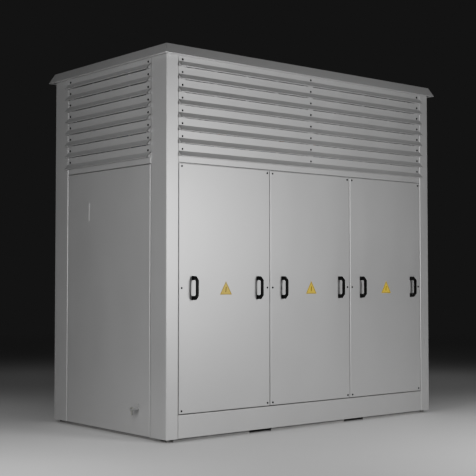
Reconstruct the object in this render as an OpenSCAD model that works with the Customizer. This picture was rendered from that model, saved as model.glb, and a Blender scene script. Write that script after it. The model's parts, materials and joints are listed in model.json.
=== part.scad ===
// Ventilated louvred housing with lift-off panels around a dry-type distribution transformer.
// Origin: middle of the base on the floor. +X runs right along the front, -Y faces the front, +Z is up.

/* [Housing] */
// Width across the corner posts
body_w = 2290; // [2200:10:2900]
// Depth across the corner posts
body_d = 1250; // [1200:10:1600]
// Height from the floor to the top of the roof
body_h = 2300; // [2250:10:2900]
// Thickness of the cladding sheet
sheet_t = 2; // [1.5:0.5:3]
// Outside radius of the folds in the cladding
fold_r = 4; // [3.5:0.5:6]
// Width of a corner post on the front and rear faces
post_front_w = 85; // [70:5:120]
// Width of a corner post on the end faces
post_side_w = 158; // [120:1:200]
// How far the doors and louvres sit behind the posts
clad_recess = 0; // [0:1:6]
// How far the inner frame sits behind the posts
frame_setback = 27; // [26:1:34]
// Gap round the doors and end panels
seam_gap = 5; // [3:0.5:8]
// Gap from the louvres, headers and plinths to the posts
trim_gap = 1; // [0.5:0.5:2]

/* [Roof] */
// Overhang of the flat top beyond the posts
roof_top_overhang = 7; // [4:1:15]
// Overhang of the eave beyond the posts
eave_overhang = 37.5; // [34:0.5:60]
// Height of the sloping fascia
fascia_h = 61.5; // [50:0.5:90]
// Width of the inward lip under the eave
eave_lip = 21; // [12:1:25]
// Thickness of the roof sheet
roof_t = 2.5; // [2:0.5:4]

/* [Louvres] */
// Number of slats on each face
louvre_count = 8; // [3:1:9]
// Distance from one slat to the next
louvre_pitch = 75; // [72:1:100]
// Depth of the first screw row below the roof top
louvre_first = 80; // [75:1:100]
// Drop from a screw row to the bend of its slat
louvre_bend_drop = 11; // [9:1:15]
// Drop of the hood from its bend to its lip
hood_drop = 33; // [25:1:40]
// Reach of the hood from the face
hood_reach = 31; // [28:1:36]
// Width of the inward lip under the hood
hood_lip = 14; // [10:1:18]
// Distance of the outer louvre screws from the slat's ends
louvre_screw_inset = 27; // [23:1:32]

/* [Doors] */
// Number of lift-off panels on the front and on the rear
DOORS = 3; // [3]
// Height of the plinth panel's top edge
plinth_top = 155; // [140:1:170]
// Height of the bottom edge of all cladding
clad_bottom = 20; // [12:1:40]
// Height of the header strip between the doors and the lowest louvre
header_show = 34; // [25:1:60]
// Thickness of the rubber seal behind a door
seal_t = 2.7; // [2:0.1:4]
// Width of the rubber seal
seal_w = 12; // [8:1:14]
// Distance of the door screws from the upright edges
door_screw_side = 19.5; // [18:0.5:24]
// Distance of the door screws from the top and bottom edges
door_screw_end = 17; // [16:0.5:24]
// Distance of each handle from the middle of its door
handle_offset = 250; // [150:5:300]
// Height of a handle
handle_h = 141; // [120:1:180]
// Width of a handle
handle_w = 17; // [14:1:24]
// Distance from the door to the outside of the grip
handle_stand = 49; // [40:1:49]
// Thickness of the grip
handle_grip = 10.5; // [8:0.5:14]
// Height of each handle foot
handle_foot = 25; // [18:1:30]
// Side length of the triangular label
label_side = 96; // [60:1:120]

/* [Base] */
// Height of the base frame
base_h = 120; // [100:1:140]
// Width of the base members
base_member_w = 60; // [50:1:80]
// Thickness of the base members
base_t = 6; // [5:1:10]
// Width of a jacking slot
slot_w = 178; // [120:1:220]
// Height of a jacking slot
slot_h = 20; // [15:1:30]
// Distance of the jacking slots from the middle
slot_x = 410; // [300:5:500]
// Radius of an anchor hole
anchor_r = 9; // [6:0.5:14]
// Distance between the anchor holes along the depth
anchor_spacing_y = 900; // [600:10:1000]
// Radius of a cable entry hole
cable_entry_r = 30; // [20:1:40]
// Radius of an earth bolt
earth_r = 6; // [5:0.5:8]
// Reach of an earth bracket from the end panel
earth_reach = 67; // [50:1:90]

/* [Transformer] */
// Distance between the core's limbs
limb_pitch = 560; // [540:5:620]
// Height of the low-voltage windings
winding_h = 1000; // [800:10:1100]
// Outside radius of the high-voltage windings
hv_r = 262; // [240:1:268]
// Wall of a high-voltage winding
hv_wall = 67; // [50:1:80]
// Outside radius of the low-voltage windings
lv_r = 165; // [155:1:175]
// Wall of a low-voltage winding
lv_wall = 40; // [30:1:45]
// Height of the core clamps
clamp_h = 210; // [200:5:230]
// Rail gauge and spacing of the rollers
gauge = 820; // [740:10:840]
// Radius of a roller
roller_r = 62.5; // [50:0.5:75]
// Width of a roller
roller_w = 40; // [30:1:44]
// Radius of a roller's axle
axle_r = 10; // [8:0.5:14]

/* [Hidden] */
$fn = 48;
eps = 1;
fit_gap = 0.2;       // fit-up gap between frame members
seat_gap = 0.3;      // gap between a lift-off piece and its seat
run_gap = 0.05;      // radial running clearance of a roller
post_t = 2.5;        // sheet of the corner posts
frame_t = 2.5;       // sheet of the inner frame members
frame_d = 40;        // depth of the inner frame members
post_top_drop = 20;  // top of the posts below the roof top

half_w = body_w / 2;
half_d = body_d / 2;
skel_x = half_w - frame_setback;
skel_y = half_d - frame_setback;
tray_d = frame_setback - clad_recess;
door_d = tray_d - seal_t - seat_gap;
front_half = half_w - post_front_w;
side_half = half_d - post_side_w;
door_half = front_half - seam_gap;
trim_front_half = front_half - trim_gap;
trim_side_half = side_half - trim_gap;

louvre_z = body_h - louvre_first;
louvre_last_z = louvre_z - (louvre_count - 1) * louvre_pitch;
lowest_lip_z = louvre_last_z - louvre_bend_drop - hood_drop;
header_z = lowest_lip_z - header_show;
hood_slope = hood_drop / hood_reach;
hood_wall = sheet_t * sqrt(1 + hood_slope * hood_slope);    // height of the sloping sheet
bend_in = hood_wall - sheet_t * hood_slope;                 // inside of a bend below its outside
header_top = louvre_last_z - louvre_bend_drop - bend_in - fit_gap;
door_z0 = plinth_top + seam_gap;
door_z1 = header_z - seam_gap;
door_h = door_z1 - door_z0;
door_mid = (door_z0 + door_z1) / 2;
door_w = (2 * door_half - (DOORS - 1) * seam_gap) / DOORS;
door_screw_zs = [door_z0 + door_screw_end, door_mid, door_z1 - door_screw_end];

jamb_in = 45;                       // width of a jamb inside the post return
jamb_out = 15;                      // width of a jamb behind the post
mullion_w = 70;
rail_cover = 38;                    // height of header and sill behind a door
sill_top = door_z0 + rail_cover;
header_bottom = door_z1 - rail_cover;
top_frame_h = 80;
top_frame_w = 50;
roof_under = body_h - roof_t;
top_frame_z = roof_under - top_frame_h;
louvre_rail_w = 45;
louvre_rail_t = tray_d - sheet_t;
flange_rise = louvre_pitch - louvre_bend_drop - hood_drop - fit_gap;
louvre_top = louvre_z + flange_rise;

screw_head_r = 5.8;
screw_head_h = 4;
screw_r = 3;
screw_len = tray_d + 5;             // reaches through the inner frame
louvre_screw_r = 2.5;
louvre_screw_len = 10;
screw_play = 0.5;

rail_t = 6;
rail_w = 76;
rail_lip = 34;
rail_end = 1.5;                     // seat of a rail's end on the end members
rail_top = base_h + rail_t;
axle_z = rail_top + seat_gap + roller_r;
fork_t = 8;
fork_gap = 2;                       // gap between a roller and its fork
fork_low = 24;                      // reach of a fork below the axle
bogie_z = axle_z + roller_r + 12;
bogie_h = 60;
bogie_w = 100;
bogie_l = gauge + 120;
clamp_z = bogie_z + bogie_h;
clamp_t = 8;
clamp_d = 136;
clamp_half = 925;
core_steps = [[210, 90], [180, 140], [130, 188]];
core_half_d = 94;
core_lift = 8;
block_h = 60;
block_step = 20;
block_w = 50;
block_x = 90;
winding_z = clamp_z + clamp_h + block_h;
winding_top = winding_z + winding_h;
clamp_top_z = winding_top + block_h;
hv_z = winding_z + block_step;
hv_h = winding_h - 2 * block_step;
yoke_low = clamp_z + clamp_h / 2 + core_lift;
yoke_high = clamp_top_z + clamp_h / 2 - core_lift;
tie_r = 10;
tie_y = 205;
tie_nut_r = 17;
tie_nut_h = 14;
tie_xs = [-1.5 * limb_pitch, -limb_pitch / 2, limb_pitch / 2, 1.5 * limb_pitch];
rib_w = 90;
rib_y = hv_r + 18;
rib_margin = 30;
boss_r = 16;
boss_l = 40;
stud_r = 6;
stud_free = 22;
stud_nut_r = 10;
stud_nut_h = 8;
link_w = 20;
link_t = 8;
link_step = 24;                     // how much further out the crossing link runs
terminal_end = 100;                 // link terminals from the ends of the HV windings
bar_w = 80;
bar_t = 12;
bar_y = 288;
bar_top = clamp_top_z + clamp_h + 130;
bar_start_y = lv_r - lv_wall + 10;
bar_hole_r = 7;
bar_hole_pitch = 40;
bar_hole_end = 30;
neutral_x = 1.5 * limb_pitch + 45;
neutral_h = 52;
insulator_r = 18;
gland_t = 3;
gland_margin = 4;
earth_t = 6;
earth_w = 44;
earth_h = 36;
earth_z = 170;
earth_y = -334;
earth_bolt_out = 38;
earth_nut_r = 10;
earth_nut_h = 10;
earth_stub = 20;
plate_t = 4;
plate_y = 205;
plate_l = 180;
plate_z = 1304;
plate_h = 119;
label_t = 0.8;
notch_w = 28;                       // corner notch of the base
notch_h = 12;
notch_in = 12;                      // distance of a notch from the end of its member
cross_clear = 100;                  // from a jacking slot to the next cross member
gland_shift = 8;                    // cable entries sit a little behind the middle of their plate
bank_cols = 4;                      // columns of slots in a vent screen
screen_bridge = 24;                 // sheet left between the slots of a vent screen
link_eye_r = 15;

paint = [0.74, 0.75, 0.73];
frame_grey = [0.45, 0.46, 0.46];
black = [0.07, 0.07, 0.07];
steel = [0.62, 0.63, 0.65];

// Left edge of one door
function door_x(i) = -door_half + i * (door_w + seam_gap);

// Middle of one door
function door_cx(i) = door_x(i) + door_w / 2;

// Half width of the roof cavity at a height
function roof_inner(half, z) =
    let (k = (eave_overhang - roof_top_overhang) / fascia_h)
    half + roof_top_overhang + (body_h - z) * k - roof_t * sqrt(1 + k * k);

// Plain outline with its two front corners rounded, front edge on y = 0
module round_front(w, d, r) {
    translate([r, 0]) square([w - 2 * r, d]);
    translate([0, r]) square([w, d - r]);
    for (x = [r, w - r]) translate([x, r]) circle(r);
}

// The same outline standing up: depth along x, height along y
module round_side(d, h, r) {
    translate([0, r]) square([d, h - 2 * r]);
    translate([r, 0]) square([d - r, h]);
    for (z = [r, h - r]) translate([r, z]) circle(r);
}

// Extrudes an outline of depth and height along +X
module along_x(l) {
    rotate([90, 0, 90]) linear_extrude(l) children();
}

// Block with its front edges rounded, front face on y = 0
module soft_block(w, d, h, r) {
    intersection() {
        linear_extrude(h) round_front(w, d, r);
        along_x(w) round_side(d, h, r);
    }
}

// Folded sheet tray, front face on y = 0, open to the back
module tray(w, d, h) {
    difference() {
        soft_block(w, d, h, fold_r);
        translate([sheet_t, sheet_t, sheet_t])
            soft_block(w - 2 * sheet_t, d, h - 2 * sheet_t, fold_r - sheet_t);
    }
}

// Upright channel, open to the back
module stile(w, d, h) {
    difference() {
        cube([w, d, h]);
        translate([frame_t, frame_t, -eps]) cube([w - 2 * frame_t, d, h + 2 * eps]);
    }
}

// Lying channel, web on y = 0, open to the back
module channel(l, d, h, t) {
    difference() {
        cube([l, d, h]);
        translate([-eps, t, t]) cube([l + 2 * eps, d, h - 2 * t]);
    }
}

// Copies a front piece to the rear
module to_rear() {
    rotate([0, 0, 180]) children();
}

// Turns a piece that faces the front to face the left end
module to_left() {
    rotate([0, 0, -90]) children();
}

// Turns a piece that faces the front to face the right end
module to_right() {
    rotate([0, 0, 90]) children();
}

// Cylinder along +Y from y = 0
module along_y(r, l) {
    rotate([-90, 0, 0]) cylinder(r = r, h = l);
}

// ---- Base ----

// One long base member with its jacking slots and corner notches
module long_member() {
    difference() {
        translate([-skel_x, -skel_y, 0]) channel(2 * skel_x, base_member_w, base_h, base_t);
        for (s = [-1, 1])
            translate([s * slot_x - slot_w / 2, -skel_y - eps, -eps])
                cube([slot_w, base_member_w + 2 * eps, slot_h + eps]);
        for (s = [-1, 1])
            translate([s * (skel_x - notch_in - notch_w / 2) - notch_w / 2, -skel_y - eps, -eps])
                cube([notch_w, base_t + 2 * eps, notch_h + eps]);
    }
}

// One end member with its anchor holes
module end_member() {
    l = 2 * (skel_y - base_member_w - fit_gap);
    difference() {
        to_left() translate([-l / 2, -skel_x, 0]) channel(l, base_member_w, base_h, base_t);
        for (s = [-1, 1])
            translate([-skel_x + base_member_w / 2, s * anchor_spacing_y / 2, -eps])
                cylinder(r = anchor_r, h = base_t + 2 * eps);
    }
}

// One member across the depth
module cross_member(x, z) {
    l = 2 * (skel_y - base_member_w - fit_gap);
    translate([x + base_member_w / 2, -l / 2, z])
        rotate([0, 0, 90]) channel(l, base_member_w, base_h - z, base_t);
}

module base_frame() {
    color(frame_grey) {
        long_member();
        to_rear() long_member();
        end_member();
        to_rear() end_member();
        cross_member(0, 0);
        for (s = [-1, 1]) cross_member(s * (slot_x + slot_w / 2 + cross_clear + base_member_w / 2), slot_h);
    }
}

module roller_rail() {
    l = 2 * (skel_x - base_member_w + 17);
    difference() {
        translate([-l / 2, -gauge / 2 - rail_w / 2, base_h]) cube([l, rail_w, rail_t + rail_lip]);
        translate([-l / 2 - eps, -gauge / 2 - rail_w / 2 + rail_t, rail_top])
            cube([l + 2 * eps, rail_w - 2 * rail_t, rail_lip + eps]);
    }
}

module roller_rails() {
    color(frame_grey) {
        roller_rail();
        to_rear() roller_rail();
    }
}

// Cable entry plate along the front
module gland_plate() {
    y0 = -skel_y + frame_d + gland_margin;
    y1 = -gauge / 2 - rail_w / 2 - gland_margin;
    difference() {
        translate([-slot_x - slot_w, y0, base_h]) cube([2 * (slot_x + slot_w), y1 - y0, gland_t]);
        for (x = [-slot_x, -slot_x / 2, slot_x / 2, slot_x])
            translate([x, (y0 + y1) / 2 + gland_shift, base_h - eps])
                cylinder(r = cable_entry_r, h = gland_t + 2 * eps);
    }
}

module gland_plates() {
    color(steel) {
        gland_plate();
        to_rear() gland_plate();
    }
}

// ---- Posts and roof ----

// Rounded corner of folded sheet at a point, turned by quarters
module fold(x, y, quarters) {
    translate([x, y]) rotate(90 * quarters) intersection() {
        difference() {
            translate([fold_r, fold_r]) circle(fold_r);
            translate([fold_r, fold_r]) circle(fold_r - post_t);
        }
        square(fold_r);
    }
}

// Section of a corner post, outside corner at the origin
module post_section() {
    fold(0, 0, 0);
    fold(post_front_w, 0, 1);
    fold(0, post_side_w, 3);
    translate([fold_r, 0]) square([post_front_w - 2 * fold_r, post_t]);
    translate([0, fold_r]) square([post_t, post_side_w - 2 * fold_r]);
    translate([post_front_w - post_t, fold_r]) square([post_t, frame_setback - fold_r]);
    translate([fold_r, post_side_w - post_t]) square([frame_setback - fold_r, post_t]);
}

// Front left corner post
module corner_post() {
    translate([-half_w, -half_d, clad_bottom])
        linear_extrude(body_h - post_top_drop - clad_bottom) post_section();
}

module front_corner_posts() {
    color(paint) {
        corner_post();
        mirror([1, 0, 0]) corner_post();
    }
}

module rear_corner_posts() {
    color(paint) mirror([0, 1, 0]) {
        corner_post();
        mirror([1, 0, 0]) corner_post();
    }
}

module top_frame() {
    end_l = 2 * (skel_y - top_frame_w - fit_gap);
    bearer_x = skel_x / 3;
    color(frame_grey) {
        for (a = [0, 180])
            rotate([0, 0, a]) translate([-skel_x, -skel_y, top_frame_z])
                channel(2 * skel_x, top_frame_w, top_frame_h, frame_t);
        for (a = [-90, 90])
            rotate([0, 0, a]) translate([-end_l / 2, -skel_x, top_frame_z])
                channel(end_l, top_frame_w, top_frame_h, frame_t);
        for (s = [-1, 1])
            translate([s * bearer_x - top_frame_w / 2, -end_l / 2, roof_under - top_frame_h / 2])
                cube([top_frame_w, end_l, top_frame_h / 2]);
    }
}

// Outside section of the roof over a half width
module roof_section(half) {
    polygon([
        [-half - eave_overhang, body_h - fascia_h], [half + eave_overhang, body_h - fascia_h],
        [half + roof_top_overhang, body_h], [-half - roof_top_overhang, body_h]
    ]);
}

// Section of the cavity under the roof sheet
module roof_cavity(half) {
    z0 = body_h - fascia_h + roof_t;
    a = roof_inner(half, z0);
    b = roof_inner(half, roof_under);
    polygon([[-a, z0], [a, z0], [b, roof_under], [-b, roof_under]]);
}

module roof() {
    lx = half_w + eave_overhang;
    ly = half_d + eave_overhang;
    color(paint) difference() {
        intersection() {
            translate([0, ly, 0]) rotate([90, 0, 0]) linear_extrude(2 * ly) roof_section(half_w);
            translate([-lx, 0, 0]) along_x(2 * lx) roof_section(half_d);
        }
        intersection() {
            translate([0, ly, 0]) rotate([90, 0, 0]) linear_extrude(2 * ly) roof_cavity(half_w);
            translate([-lx, 0, 0]) along_x(2 * lx) roof_cavity(half_d);
        }
        translate([-lx + eave_lip, -ly + eave_lip, body_h - fascia_h - eps])
            cube([2 * (lx - eave_lip), 2 * (ly - eave_lip), roof_t + 2 * eps]);
    }
}

// ---- Door frames and end frames ----

// Screw holes of all doors through the front frame
module door_screw_holes() {
    for (i = [0:DOORS - 1], x = [door_screw_side, door_w - door_screw_side], z = door_screw_zs)
        translate([door_x(i) + x, -skel_y - eps, z]) along_y(screw_r + screw_play, screw_len);
}

// Louvre screw holes into rails at the given places
module louvre_screw_holes(xs, half) {
    for (x = xs, k = [0:louvre_count - 1])
        translate([x, -half + clad_recess, louvre_z - k * louvre_pitch])
            along_y(louvre_screw_r + fit_gap, louvre_screw_len + fit_gap);
}

function front_louvre_xs() =
    [-trim_front_half + louvre_screw_inset, 0, trim_front_half - louvre_screw_inset];
function side_louvre_xs() =
    [-trim_side_half + louvre_screw_inset, trim_side_half - louvre_screw_inset];

// Bars behind the louvre ends, with their screw holes
module louvre_rails(xs, half) {
    z0 = header_top + fit_gap;
    difference() {
        for (x = xs)
            translate([x - louvre_rail_w / 2, -half + clad_recess + sheet_t, z0])
                cube([louvre_rail_w, louvre_rail_t, louvre_top - z0]);
        louvre_screw_holes(xs, half);
    }
}

module door_frame() {
    jamb_z1 = top_frame_z - fit_gap;
    difference() {
        union() {
            for (s = [0, 1])
                mirror([s, 0, 0]) translate([-front_half - jamb_out, -skel_y, base_h])
                    stile(jamb_in + jamb_out, frame_d, jamb_z1 - base_h);
            translate([-front_half + jamb_in + fit_gap, -skel_y, base_h])
                channel(2 * (front_half - jamb_in - fit_gap), frame_d, sill_top - base_h, frame_t);
            translate([-front_half + jamb_in + fit_gap, -skel_y, header_bottom])
                channel(2 * (front_half - jamb_in - fit_gap), frame_d, header_top - header_bottom, frame_t);
            for (i = [1:DOORS - 1])
                translate([door_x(i) - seam_gap / 2 - mullion_w / 2, -skel_y, sill_top + fit_gap])
                    stile(mullion_w, frame_d, header_bottom - sill_top - 2 * fit_gap);
            translate([-mullion_w / 2, -skel_y, header_top + fit_gap])
                stile(mullion_w, frame_d, jamb_z1 - header_top - fit_gap);
        }
        door_screw_holes();
    }
    translate([-trim_front_half, -half_d + clad_recess, header_z])
        tray(2 * trim_front_half, tray_d - fit_gap, header_top - header_z);
    louvre_rails(front_louvre_xs(), half_d);
}

module front_door_frame() {
    color(paint) door_frame();
}

module rear_door_frame() {
    color(paint) to_rear() door_frame();
}

// Inner frame of the left end, drawn facing the front
module end_frame() {
    stile_in = 52;
    stile_out = 13;
    stile_z1 = top_frame_z - fit_gap;
    for (s = [0, 1])
        mirror([s, 0, 0]) translate([-side_half - stile_out, -skel_x, base_h])
            stile(stile_in + stile_out, frame_d, stile_z1 - base_h);
    translate([-side_half + stile_in + fit_gap, -skel_x, header_bottom])
        channel(2 * (side_half - stile_in - fit_gap), frame_d, header_top - header_bottom, frame_t);
    translate([-trim_side_half, -half_w + clad_recess, header_z])
        tray(2 * trim_side_half, tray_d - fit_gap, header_top - header_z);
    louvre_rails(side_louvre_xs(), half_w);
}

module side_frames() {
    color(paint) {
        to_left() end_frame();
        to_right() end_frame();
    }
}

// ---- Louvres ----

// One slat, screw row on z = 0, face on y = 0
module louvre_slat(l, xs) {
    lip_z = -louvre_bend_drop - hood_drop;
    difference() {
        along_x(l) polygon([
            [sheet_t, flange_rise], [0, flange_rise], [0, -louvre_bend_drop],
            [-hood_reach, lip_z], [-hood_reach + hood_lip, lip_z],
            [-hood_reach + hood_lip, lip_z + sheet_t],
            [(lip_z + sheet_t + louvre_bend_drop + hood_wall) / hood_slope, lip_z + sheet_t],
            [sheet_t, -louvre_bend_drop - bend_in]
        ]);
        for (x = xs) translate([x, -eps, 0]) along_y(louvre_screw_r + fit_gap, sheet_t + 2 * eps);
    }
    for (x = [0, l - sheet_t])
        translate([x, 0, 0]) along_x(sheet_t)
            polygon([[0, -louvre_bend_drop], [-hood_reach, lip_z], [0, lip_z]]);
}

// All slats of one face
module louvre_bank(half_l, half, xs) {
    for (k = [0:louvre_count - 1])
        translate([-half_l, -half + clad_recess, louvre_z - k * louvre_pitch])
            louvre_slat(2 * half_l, [for (x = xs) x + half_l]);
}

module front_louvre_slats() {
    color(paint) louvre_bank(trim_front_half, half_d, front_louvre_xs());
}

module rear_louvre_slats() {
    color(paint) to_rear() louvre_bank(trim_front_half, half_d, front_louvre_xs());
}

module side_louvre_slats() {
    color(paint) {
        to_left() louvre_bank(trim_side_half, half_w, side_louvre_xs());
        to_right() louvre_bank(trim_side_half, half_w, side_louvre_xs());
    }
}

// Screws of one bank of louvres
module bank_screws(half, xs) {
    for (x = xs, k = [0:louvre_count - 1])
        translate([x, -half + clad_recess, louvre_z - k * louvre_pitch]) {
            translate([0, -screw_head_h, 0]) along_y(screw_head_r, screw_head_h);
            along_y(louvre_screw_r, louvre_screw_len);
        }
}

module louvre_screws() {
    color(black) {
        bank_screws(half_d, front_louvre_xs());
        to_rear() bank_screws(half_d, front_louvre_xs());
        to_left() bank_screws(half_w, side_louvre_xs());
        to_right() bank_screws(half_w, side_louvre_xs());
    }
}

// Slotted sheet between two louvre rails
module vent_screen(x0, x1, half) {
    z0 = header_top + fit_gap;
    pitch = (x1 - x0) / bank_cols;
    translate([x0, -half + frame_setback - sheet_t, 0]) difference() {
        translate([0, 0, z0]) cube([x1 - x0, sheet_t, louvre_top - z0]);
        for (i = [0:bank_cols - 1], k = [0:louvre_count - 2])
            translate([i * pitch + screen_bridge / 2, -eps, louvre_z - (k + 1) * louvre_pitch + flange_rise])
                cube([pitch - screen_bridge, sheet_t + 2 * eps, screen_bridge]);
    }
}

// The screens behind one bank of louvres
module bank_screens(xs, half) {
    for (i = [0:len(xs) - 2])
        vent_screen(xs[i] + louvre_rail_w / 2, xs[i + 1] - louvre_rail_w / 2, half);
}

module vent_screens() {
    color(steel) {
        bank_screens(front_louvre_xs(), half_d);
        to_rear() bank_screens(front_louvre_xs(), half_d);
        to_left() bank_screens(side_louvre_xs(), half_w);
        to_right() bank_screens(side_louvre_xs(), half_w);
    }
}

// ---- End panels and plinths ----

module end_panel() {
    l = 2 * (side_half - seam_gap);
    translate([-l / 2, -half_w + clad_recess, clad_bottom])
        tray(l, tray_d, door_z1 - clad_bottom);
}

module left_side_panel() {
    color(paint) to_left() end_panel();
}

module right_side_panel() {
    color(paint) to_right() end_panel();
}

module plinth_panel() {
    translate([-trim_front_half, -half_d + clad_recess, clad_bottom])
        tray(2 * trim_front_half, tray_d, plinth_top - clad_bottom);
}

module plinth_panels() {
    color(paint) {
        plinth_panel();
        to_rear() plinth_panel();
    }
}

module rating_plate() {
    color(steel)
        translate([-half_w + clad_recess - plate_t, plate_y, plate_z]) cube([plate_t, plate_l, plate_h]);
}

// Earth bracket on the left end panel
module earth_bracket() {
    difference() {
        translate([-half_w + clad_recess - earth_reach, earth_y - earth_w / 2, earth_z])
            cube([earth_reach, earth_w, earth_t]);
        translate([-half_w + clad_recess - earth_bolt_out, earth_y, earth_z - eps])
            cylinder(r = earth_r + screw_play, h = earth_t + 2 * eps);
    }
    translate([-half_w + clad_recess - earth_t, earth_y - earth_w / 2, earth_z + earth_t])
        cube([earth_t, earth_w, earth_h - earth_t]);
}

module earth_brackets() {
    color(paint) {
        earth_bracket();
        to_rear() earth_bracket();
    }
}

// Bolt, nut and free stub under the earth bracket
module earth_bolt() {
    translate([-half_w + clad_recess - earth_bolt_out, earth_y, earth_z]) {
        translate([0, 0, earth_t]) cylinder(r = earth_nut_r, h = earth_nut_h, $fn = 6);
        translate([0, 0, -earth_nut_h]) cylinder(r = earth_nut_r, h = earth_nut_h, $fn = 6);
        translate([0, 0, -earth_nut_h - earth_stub])
            cylinder(r = earth_r, h = earth_nut_h + earth_stub + earth_t);
    }
}

module earth_bolts() {
    color(black) {
        earth_bolt();
        to_rear() earth_bolt();
    }
}

// ---- Lift-off doors ----

module door_panel(i) {
    difference() {
        translate([door_x(i), -half_d + clad_recess, door_z0]) tray(door_w, door_d, door_h);
        for (x = [door_screw_side, door_w - door_screw_side], z = door_screw_zs)
            translate([door_x(i) + x, -half_d + clad_recess - eps, z])
                along_y(screw_r + fit_gap, sheet_t + 2 * eps);
    }
}

// Bridge handle, foot on y = 0, middle on the origin
module handle() {
    h = handle_h / 2;
    chamfer = handle_stand - handle_foot;
    inner = h - handle_foot;
    translate([-handle_w / 2, 0, 0]) along_x(handle_w) difference() {
        polygon([
            [0, -h], [-handle_foot, -h], [-handle_stand, -h + chamfer],
            [-handle_stand, h - chamfer], [-handle_foot, h], [0, h]
        ]);
        translate([-handle_stand + handle_grip, -inner]) square([handle_stand, 2 * inner]);
    }
}

module door_handles(i) {
    for (s = [-1, 1])
        translate([door_cx(i) + s * handle_offset, -half_d + clad_recess, door_mid]) handle();
}

module door_screws(i) {
    for (x = [door_screw_side, door_w - door_screw_side], z = door_screw_zs)
        translate([door_x(i) + x, -half_d + clad_recess, z]) {
            translate([0, -screw_head_h, 0]) along_y(screw_head_r, screw_head_h);
            along_y(screw_r, screw_len);
        }
}

// Triangular label on the middle of a door
module door_label(i) {
    h = label_side * sqrt(3) / 2;
    translate([door_cx(i), -half_d + clad_recess, door_mid]) rotate([90, 0, 0])
        linear_extrude(label_t)
            polygon([[-label_side / 2, -h / 2], [label_side / 2, -h / 2], [0, h / 2]]);
}

module front_panel_left() { color(paint) door_panel(0); }
module front_panel_centre() { color(paint) door_panel(1); }
module front_panel_right() { color(paint) door_panel(2); }
module rear_panel_left() { color(paint) to_rear() door_panel(0); }
module rear_panel_centre() { color(paint) to_rear() door_panel(1); }
module rear_panel_right() { color(paint) to_rear() door_panel(2); }
module front_handles_left() { color(black) door_handles(0); }
module front_handles_centre() { color(black) door_handles(1); }
module front_handles_right() { color(black) door_handles(2); }
module rear_handles_left() { color(black) to_rear() door_handles(0); }
module rear_handles_centre() { color(black) to_rear() door_handles(1); }
module rear_handles_right() { color(black) to_rear() door_handles(2); }
module front_screws_left() { color(black) door_screws(0); }
module front_screws_centre() { color(black) door_screws(1); }
module front_screws_right() { color(black) door_screws(2); }
module rear_screws_left() { color(black) to_rear() door_screws(0); }
module rear_screws_centre() { color(black) to_rear() door_screws(1); }
module rear_screws_right() { color(black) to_rear() door_screws(2); }
module warning_label_left() { color("gold") door_label(0); }
module warning_label_centre() { color("gold") door_label(1); }
module warning_label_right() { color("gold") door_label(2); }

// Seal rings behind the doors of one face
module seal_set() {
    for (i = [0:DOORS - 1]) difference() {
        translate([door_x(i), -skel_y - seal_t, door_z0]) cube([door_w, seal_t, door_h]);
        translate([door_x(i) + seal_w, -skel_y - seal_t - eps, door_z0 + seal_w])
            cube([door_w - 2 * seal_w, seal_t + 2 * eps, door_h - 2 * seal_w]);
    }
}

module door_seals() {
    color(black) {
        seal_set();
        to_rear() seal_set();
    }
}

// ---- Transformer ----

// One step of the stacked core
module core_layer(w, d) {
    difference() {
        translate([-limb_pitch - w / 2, -d / 2, yoke_low - w / 2])
            cube([2 * limb_pitch + w, d, yoke_high - yoke_low + w]);
        for (s = [-1, 1])
            translate([(s - 1) * limb_pitch / 2 + w / 2, -d / 2 - eps, yoke_low + w / 2])
                cube([limb_pitch - w, d + 2 * eps, yoke_high - yoke_low - w]);
    }
}

module core() {
    color([0.3, 0.31, 0.33]) for (step = core_steps) core_layer(step[0], step[1]);
}

// One clamp channel in front of the core
module core_clamp(z) {
    difference() {
        translate([-clamp_half, -core_half_d - clamp_d, z]) difference() {
            cube([2 * clamp_half, clamp_d, clamp_h]);
            translate([-eps, -eps, clamp_t])
                cube([2 * clamp_half + 2 * eps, clamp_d - clamp_t + eps, clamp_h - 2 * clamp_t]);
        }
        for (x = tie_xs)
            translate([x, -tie_y, z - eps]) cylinder(r = tie_r + fit_gap, h = clamp_h + 2 * eps);
    }
}

module core_clamps() {
    color([0.55, 0.22, 0.16]) for (z = [clamp_z, clamp_top_z]) {
        core_clamp(z);
        to_rear() core_clamp(z);
    }
}

module tie_rods() {
    z0 = clamp_z - tie_nut_h;
    z1 = clamp_top_z + clamp_h;
    color(steel) for (x = tie_xs, y = [-tie_y, tie_y]) translate([x, y, 0]) {
        translate([0, 0, z0]) cylinder(r = tie_r, h = z1 + tie_nut_h - z0);
        for (z = [z0, z1]) translate([0, 0, z]) cylinder(r = tie_nut_r, h = tie_nut_h, $fn = 6);
    }
}

// Hollow winding
module winding(r, wall, z, h) {
    difference() {
        translate([0, 0, z]) cylinder(r = r, h = h);
        translate([0, 0, z - eps]) cylinder(r = r - wall, h = h + 2 * eps);
    }
}

module lv_windings() {
    color([0.72, 0.45, 0.2]) for (i = [-1:1])
        translate([i * limb_pitch, 0, 0]) winding(lv_r, lv_wall, winding_z, winding_h);
}

module hv_windings() {
    color([0.45, 0.13, 0.1]) for (i = [-1:1]) translate([i * limb_pitch, 0, 0]) difference() {
        union() {
            translate([0, 0, hv_z]) cylinder(r = hv_r, h = hv_h);
            translate([-rib_w / 2, -rib_y, hv_z + rib_margin]) cube([rib_w, rib_y, hv_h - 2 * rib_margin]);
        }
        translate([0, 0, hv_z - eps]) cylinder(r = hv_r - hv_wall, h = hv_h + 2 * eps);
    }
}

// Support block under the front of a winding
module winding_block() {
    y0 = core_half_d + clamp_t + 18;
    y1 = core_half_d + clamp_d + 5;
    split = lv_r + 10;
    z0 = winding_z - block_h;
    translate([-block_w / 2, 0, 0]) along_x(block_w) polygon([
        [y0, z0], [y1, z0], [y1, hv_z], [split, hv_z], [split, winding_z], [y0, winding_z]
    ]);
}

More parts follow.
